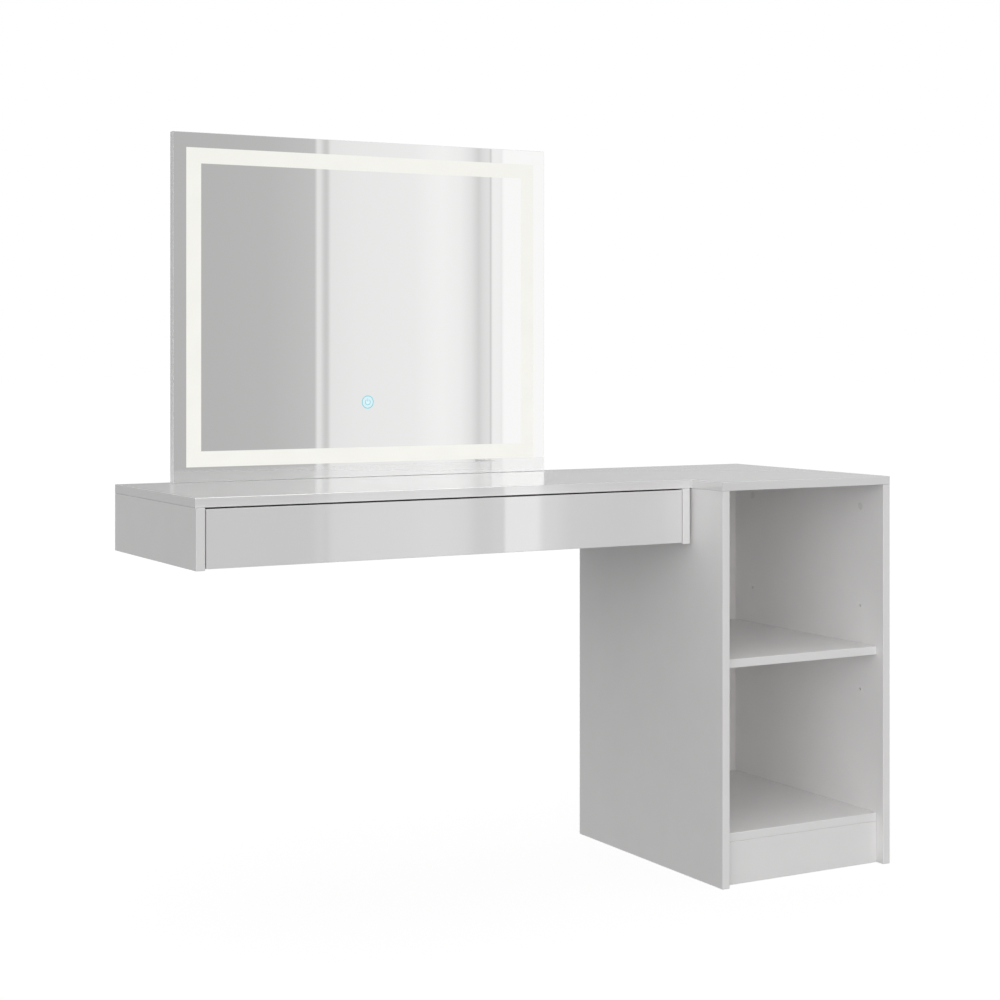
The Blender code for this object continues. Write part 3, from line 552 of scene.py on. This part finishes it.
def build_touch_mark(stroke, glow):
    """Round touch field on the glass: a ring with a plain on-off sign in it."""
    middle = touch_place()
    front, back = middle.y - 2 * HAIR, middle.y - HAIR
    shape = bmesh.new()
    arc_ribbon(shape, TOUCH_RADIUS, TOUCH_LINE, 0, 2 * pi, TOUCH_SIDES, front, back, middle)
    sign = SIGN * TOUCH_RADIUS
    arc_ribbon(shape, sign, TOUCH_LINE, radians(SIGN_START), radians(SIGN_END), SIGN_STEPS,
               front, back, middle)
    bar = Matrix.Translation((middle.x, (front + back) / 2, middle.z + SIGN_BAR[0] * sign))
    bar = bar @ Matrix.Diagonal((TOUCH_LINE, back - front, SIGN_BAR[1] * sign, 1.0))
    bmesh.ops.create_cube(shape, size=1.0, matrix=bar)
    mark = mesh_object("touch_mark", shape, (stroke,), smooth=False)
    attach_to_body(mark, "root")

    shape = bmesh.new()
    lying = Matrix.Translation((middle.x, middle.y - HAIR / 2, middle.z))
    lying = lying @ Matrix.Rotation(pi / 2, 4, "X")
    bmesh.ops.create_cone(shape, cap_ends=True, segments=TOUCH_SIDES,
                          radius1=TOUCH_RADIUS * HALO[0], radius2=TOUCH_RADIUS * HALO[1],
                          depth=HAIR * HALO_THICKNESS, matrix=lying)
    halo = mesh_object("touch_halo", shape, (glow,), smooth=False)
    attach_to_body(halo, "root")


# Fittings ----------------------------------------------------------------------------

def facing(middle, outward):
    """Map (across, up, out) about a middle to world points; outward is a level unit vector."""
    outward = Vector(outward)
    across = outward.cross(Vector((0, 0, 1)))
    return lambda a, b, out: middle + a * across + b * Vector((0, 0, 1)) + out * outward


def round_points(radius, count):
    return [(radius * cos(2 * pi * i / count), radius * sin(2 * pi * i / count))
            for i in range(count)]


def cross_points(half, arm):
    """Outline of a cross from its half length and its arms' half width."""
    quarter = ((arm, half), (arm, arm), (half, arm))
    points = []
    for turn in range(4):
        for a, b in quarter:
            for _ in range(turn):
                a, b = b, -a
            points.append((a, b))
    return points


def loop_at(shape, points, to_world, out):
    return [shape.verts.new(to_world(a, b, out)) for a, b in points]


def fill_between(shape, outer, inner):
    """Flat face between an outer loop and the mouth of a hole in it."""
    edges = []
    for loop in (outer, inner):
        for first, second in zip(loop, loop[1:] + loop[:1]):
            edges.append(shape.edges.get((first, second)) or shape.edges.new((first, second)))
    bmesh.ops.triangle_fill(shape, use_beauty=True, edges=edges)


def sink_socket(shape, rim, points, to_world, out, deeper):
    """Socket with the outline of the points, sunk into the flat face inside the rim."""
    mouth = loop_at(shape, points, to_world, out)
    small = [(a * SOCKET_TAPER, b * SOCKET_TAPER) for a, b in points]
    floor = loop_at(shape, small, to_world, deeper)
    fill_between(shape, rim, mouth)
    bridge(shape, mouth, floor)
    shape.faces.new(floor)


def turned_loops(shape, profile, to_world, count):
    """Rings of a turned body from (radius, out) pairs, joined one to the next."""
    loops = [loop_at(shape, round_points(radius, count), to_world, out) for radius, out in profile]
    for first, second in zip(loops, loops[1:]):
        bridge(shape, first, second)
    return loops


def set_fitting(name, shape, finish, node_name=None, body="root", smooth=True):
    """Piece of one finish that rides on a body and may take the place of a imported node."""
    piece = mesh_object(name, shape, (finish,), smooth)
    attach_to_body(piece, body)
    if node_name:
        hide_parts(node_name)
    return piece


def slab(shape, points, to_world, first_out, last_out):
    """Closed plate with the outline of the points, between two distances outwards."""
    sides = [loop_at(shape, points, to_world, out) for out in (first_out, last_out)]
    bridge(shape, *sides)
    for side in sides:
        shape.faces.new(side)


def slotted_outline(radius):
    """Round outline with a slot from its top to just past the middle."""
    outline = [(a, b) for a, b in round_points(radius, TURNED_SIDES)
               if b < 0 or abs(a) > CAM_SLOT_HALF + CAM_RIM]
    start = next(i for i, (a, b) in enumerate(outline) if a < 0 < b)
    outline = outline[start:] + outline[:start]
    mouth = radius * CAM_SLOT_MOUTH
    return outline + [(CAM_SLOT_HALF, mouth), (CAM_SLOT_HALF, -CAM_SLOT_HALF),
                      (-CAM_SLOT_HALF, -CAM_SLOT_HALF), (-CAM_SLOT_HALF, mouth)]


def build_cam(node_name, finish):
    """Cam with a cross in its face, an arrow for its mouth, and the slot for the bolt."""
    low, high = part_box(node_name)
    outward = (1, 0, 0) if "_left_" in node_name else (-1, 0, 0)
    to_world = facing((low + high) / 2, outward)
    half = (high.x - low.x) / 2
    radius = (high.z - low.z) / 2
    shape = bmesh.new()
    profile = ((radius, half - CAM_FRONT), (radius, half - CAM_RIM), (radius - CAM_RIM, half))
    loops = turned_loops(shape, profile, to_world, TURNED_SIDES)
    shape.faces.new(loops[0])
    sink_socket(shape, loops[-1], cross_points(CROSS_HALF, CROSS_ARM), to_world, half,
                half - CROSS_DEPTH)
    slab(shape, CAM_ARROW, to_world, half - CAM_RIM, half + CAM_RIM / 2)
    slab(shape, slotted_outline(radius), to_world, half - CAM_FRONT, -half)
    set_fitting(node_name + "_turned", shape, finish, node_name)


def build_cam_cap(node_name, finish):
    """Flush cap with a shallow dimple that hides a cam inside the pedestal."""
    low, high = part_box(node_name)
    sign = 1 if "_left_" in node_name else -1
    face = (high.x if sign > 0 else low.x) + sign * CAM_SETBACK
    middle = Vector((face, (low.y + high.y) / 2, (low.z + high.z) / 2))
    shape = bmesh.new()
    profile = [(radius, -depth) for radius, depth in CAM_CAP]
    loops = turned_loops(shape, profile, facing(middle, (sign, 0, 0)), TURNED_SIDES)
    for loop in (loops[0], loops[-1]):
        shape.faces.new(loop)
    set_fitting(node_name.replace("lock", "cap"), shape, finish)


def build_connector(node_name, finish):
    """Joining bolt with a rounded head and a six-sided socket at either end."""
    low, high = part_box(node_name)
    half = (high.x - low.x) / 2
    radius = (high.z - low.z) / 2
    to_world = facing((low + high) / 2, (1, 0, 0))
    head = [(BOLT_SHANK, half - BOLT_HEAD), (radius, half - BOLT_HEAD)]
    head += [(radius - less, half - down) for less, down in BOLT_CROWN]
    profile = [(r, -out) for r, out in reversed(head)] + head
    shape = bmesh.new()
    loops = turned_loops(shape, profile, to_world, TURNED_SIDES)
    for rim, sign in ((loops[0], -1), (loops[-1], 1)):
        sink_socket(shape, rim, round_points(HEX_SOCKET, 6), to_world, sign * half,
                    sign * (half - HEX_DEPTH))
    set_fitting(node_name + "_socketed", shape, finish, node_name)


def build_screw(name, seat, finish):
    """Pan-head screw whose head lies on the plate at the seat, turned to the wall."""
    to_world = facing(seat, (0, 1, 0))
    shape = bmesh.new()
    profile = ((SCREW_SHANK, -BRACKET_METAL), (SCREW_SHANK, 0.0), *PAN_HEAD)
    loops = turned_loops(shape, profile, to_world, SCREW_SIDES)
    shape.faces.new(loops[0])
    sink_socket(shape, loops[-1], cross_points(*SCREW_CROSS), to_world, PAN_HEAD[-1][1],
                SCREW_CROSS_FLOOR)
    set_fitting(name, shape, finish)


def build_bracket_screws(finish):
    """The screws that hold the two angle plates to the mirror's frame."""
    for hand in ("left", "right"):
        low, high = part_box("mirror_bracket_" + hand)
        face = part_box("mirror_frame")[1].y + BRACKET_METAL
        for label, up in BRACKET_SCREW_HEIGHTS.items():
            seat = Vector(((low.x + high.x) / 2, face + GAP, low.z + up))
            build_screw(f"bracket_screw_{hand}_{label}", seat, finish)


def build_driver(finish):
    """Lamp driver's case with rounded edges and cooling ribs on the side to the wall."""
    low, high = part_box("led_driver")
    size = high - low
    shape = bmesh.new()
    body = Matrix.Translation((low + high) / 2 - Vector((0, DRIVER_RIB / 2, 0)))
    body = body @ Matrix.Diagonal((size.x, size.y - DRIVER_RIB, size.z, 1.0))
    bmesh.ops.create_cube(shape, size=1.0, matrix=body)
    bmesh.ops.bevel(shape, geom=list(shape.edges), offset=DRIVER_EDGE,
                    segments=DRIVER_EDGE_STEPS, profile=0.5, affect="EDGES")
    span = RIBS_SPAN * size.x
    for i in range(DRIVER_RIBS):
        x = (low.x + high.x) / 2 - span / 2 + span * i / (DRIVER_RIBS - 1)
        rib = Matrix.Translation((x, high.y - DRIVER_RIB, (low.z + high.z) / 2))
        rib = rib @ Matrix.Diagonal((DRIVER_RIB_WIDTH, 2 * DRIVER_RIB, RIBS_LENGTH * size.z, 1.0))
        made = bmesh.ops.create_cube(shape, size=1.0, matrix=rib)
        edges = {edge for vert in made["verts"] for edge in vert.link_edges}
        bmesh.ops.bevel(shape, geom=list(edges), offset=DRIVER_RIB_EDGE,
                        segments=DRIVER_RIB_STEPS, profile=0.5, affect="EDGES")
    set_fitting("led_driver_case", shape, finish, "led_driver")


def add_ball_row(beads, carrier, x, z, rear, front):
    """Balls at both ends of one row, and the strip that carries them, along Y."""
    last_start = front - BALLS_FROM_END - BALL_PITCH * (BALLS - 1)
    for start in (rear + BALLS_FROM_END, last_start):
        for i in range(BALLS):
            spot = Matrix.Translation((x, start + i * BALL_PITCH, z))
            bmesh.ops.create_icosphere(beads, subdivisions=2, radius=BALL, matrix=spot)
    strip = Matrix.Translation((x, (rear + front) / 2, z))
    strip = strip @ Matrix.Diagonal((CARRIER_THICKNESS, front - rear - BALLS_FROM_END,
                                     CARRIER_HEIGHT, 1.0))
    bmesh.ops.create_cube(carrier, size=1.0, matrix=strip)


def build_ball_cages(steel_finish, zinc_finish):
    """Rows of steel balls with their carrier strips between the runners' channels."""
    for hand, side in (("left", 1), ("right", -1)):
        low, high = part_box("runner_middle_" + hand)
        box_low, box_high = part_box("runner_box_" + hand)
        wall = (box_low if side > 0 else box_high).x
        middle_height = (low.z + high.z) / 2
        beads = bmesh.new()
        carrier = bmesh.new()
        for across, up in BALL_ROWS:
            for sign in (-1, 1):
                add_ball_row(beads, carrier, wall + side * (across - GAP),
                             middle_height + sign * up, low.y, high.y)
        body = "runner_member_" + hand
        balls = set_fitting("runner_balls_" + hand, beads, steel_finish, body=body)
        balls.data.shade_smooth()
        set_fitting("ball_carrier_" + hand, carrier, zinc_finish, body=body, smooth=False)


# Stage -------------------------------------------------------------------------------

def add_camera():
    data = bpy.data.cameras.new("camera")
    data.sensor_width = SENSOR_WIDTH
    data.lens = CAMERA_LENS
    data.shift_y = CAMERA_DROP
    data.clip_end = CAMERA_REACH
    camera = bpy.data.objects.new("camera", data)
    bpy.context.scene.collection.objects.link(camera)
    camera.location = CAMERA_PLACE
    camera.rotation_euler = (radians(90), 0, -radians(CAMERA_YAW))
    bpy.context.scene.camera = camera


def soft_sky(tree, direction):
    """Sum of wide lobes, one for each side that the studio light comes from."""
    total = 0.0
    for towards, narrowness, strength in SKY.values():
        side = Vector(towards).normalized()
        cosine = node(tree, "VectorMath", {0: direction, 1: side}, operation="DOT_PRODUCT")
        lobe = calc(tree, "POWER", calc(tree, "MAXIMUM", cosine.outputs["Value"], 0.0), narrowness)
        total = calc(tree, "MULTIPLY_ADD", lobe, strength, total)
    return total


def studio_room(tree, direction):
    """What polished faces see: tall soft bands to the front right, plain tones elsewhere."""
    parts = node(tree, "SeparateXYZ", {"Vector": direction}).outputs
    forward = calc(tree, "MULTIPLY", parts["Y"], -1.0)
    azimuth = calc(tree, "DEGREES", calc(tree, "ARCTAN2", parts["X"], forward))
    elevation = calc(tree, "DEGREES", calc(tree, "ARCSINE", parts["Z"]))
    tall = ramp_between(tree, azimuth, MIRROR_BANDS)
    low = ramp_between(tree, azimuth, GLOSS_BANDS)
    plain = ramp_between(tree, azimuth, ROOM_TONES)
    border = smooth_step(tree, elevation, GLOSS_BELOW - GLOSS_BORDER, GLOSS_BELOW + GLOSS_BORDER)
    bands = blend_colours(tree, border, low, tall)
    first, last = BAND_AZIMUTH
    inside = calc(tree, "MULTIPLY",
                  smooth_step(tree, azimuth, first - BAND_FADE[0], first),
                  smooth_step(tree, azimuth, last + BAND_FADE[1], last))
    level = calc(tree, "MULTIPLY",
                 smooth_step(tree, elevation, *BAND_FOOT),
                 smooth_step(tree, elevation, *BAND_HEAD))
    room = blend_colours(tree, calc(tree, "MULTIPLY", inside, level), plain, bands)
    above = calc(tree, "MULTIPLY",
                 smooth_step(tree, elevation, SOFTBOX_LOW, SOFTBOX_LOW + SOFTBOX_FADE),
                 smooth_step(tree, elevation, SOFTBOX_HIGH, SOFTBOX_HIGH - SOFTBOX_FADE))
    ahead = smooth_step(tree, forward, 0.0, SOFTBOX_AHEAD)
    return blend_colours(tree, calc(tree, "MULTIPLY", above, ahead), room,
                         (SOFTBOX, SOFTBOX, SOFTBOX, 1.0))


def add_world():
    """Backdrop for the camera, the room for polished faces, and the soft sky for the rest."""
    world = bpy.data.worlds.new("studio")
    world.use_nodes = True
    bpy.context.scene.world = world
    tree = world.node_tree
    tree.nodes.clear()
    direction = node(tree, "TexCoord").outputs["Generated"]
    rays = node(tree, "LightPath").outputs
    light = node(tree, "Background", {"Color": soft_sky(tree, direction)})
    room = node(tree, "Background", {"Color": studio_room(tree, direction)})
    plain = node(tree, "Background", {"Color": (BACKDROP, BACKDROP, BACKDROP, 1.0)})
    seen = node(tree, "MixShader", {0: rays["Is Glossy Ray"], 1: light.outputs[0],
                                    2: room.outputs[0]})
    seen = node(tree, "MixShader", {0: rays["Is Camera Ray"], 1: seen.outputs[0],
                                    2: plain.outputs[0]})
    node(tree, "OutputWorld", {"Surface": seen.outputs[0]})


def add_floor():
    """Plain pale floor that takes the table's soft shadow."""
    shape = bmesh.new()
    bmesh.ops.create_circle(shape, cap_ends=True, segments=FLOOR_SIDES, radius=FLOOR_RADIUS)
    pale = finish_material("pale_floor", {
        "Base Color": (FLOOR_TONE, FLOOR_TONE, FLOOR_TONE, 1.0), "Roughness": 1.0,
        "Specular IOR Level": 0.0,
        "Emission Color": (1.0, 1.0, 1.0, 1.0), "Emission Strength": FLOOR_GLOW})
    pale.cycles.emission_sampling = "NONE"
    floor = mesh_object("floor", shape, (pale,), smooth=False)
    floor.visible_glossy = False
    floor.visible_diffuse = False


def make_finishes():
    """One material for each material slot of the record."""
    return {
        "gloss_white": gloss_white(), "satin_white": satin_white(), "back_white": back_white(),
        "drawer_grey": drawer_grey(), "zinc": zinc(), "steel": steel(),
        "clip_plastic": moulded("clip_plastic_white", (0.80, 0.795, 0.78), 0.38, 0.52),
        "silvered": silvered(), "light_band": lit_band(),
        "frame_white": moulded("frame_white_plastic", (0.87, 0.865, 0.86), 0.30, 0.42),
        "black_plastic": moulded("black_plastic", (0.022, 0.022, 0.023), 0.40, 0.55),
        "circuit": circuit(), "touch_light": circuit(),
    }


def build_fittings(slots):
    for node_name in NODES:
        if node_name.endswith("_cam_lock"):
            build_cam(node_name, slots["zinc"])
            if node_name.startswith("pedestal"):
                build_cam_cap(node_name, slots["clip_plastic"])
        if node_name.startswith("connector_bolt_"):
            build_connector(node_name, slots["zinc"])
    build_bracket_screws(slots["steel"])
    build_driver(slots["black_plastic"])
    build_ball_cages(slots["steel"], slots["zinc"])


def build():
    add_camera()
    slots = make_finishes()
    dress(slots)
    build_mirror_sheet(slots["silvered"], polished_edge(), mirror_backing())
    build_band(slots["light_band"])
    build_touch_mark(touch_stroke(), touch_glow())
    build_fittings(slots)
    add_world()
    add_floor()
    view = bpy.context.scene.view_settings
    view.view_transform = "Standard"
    view.look = "None"


build()
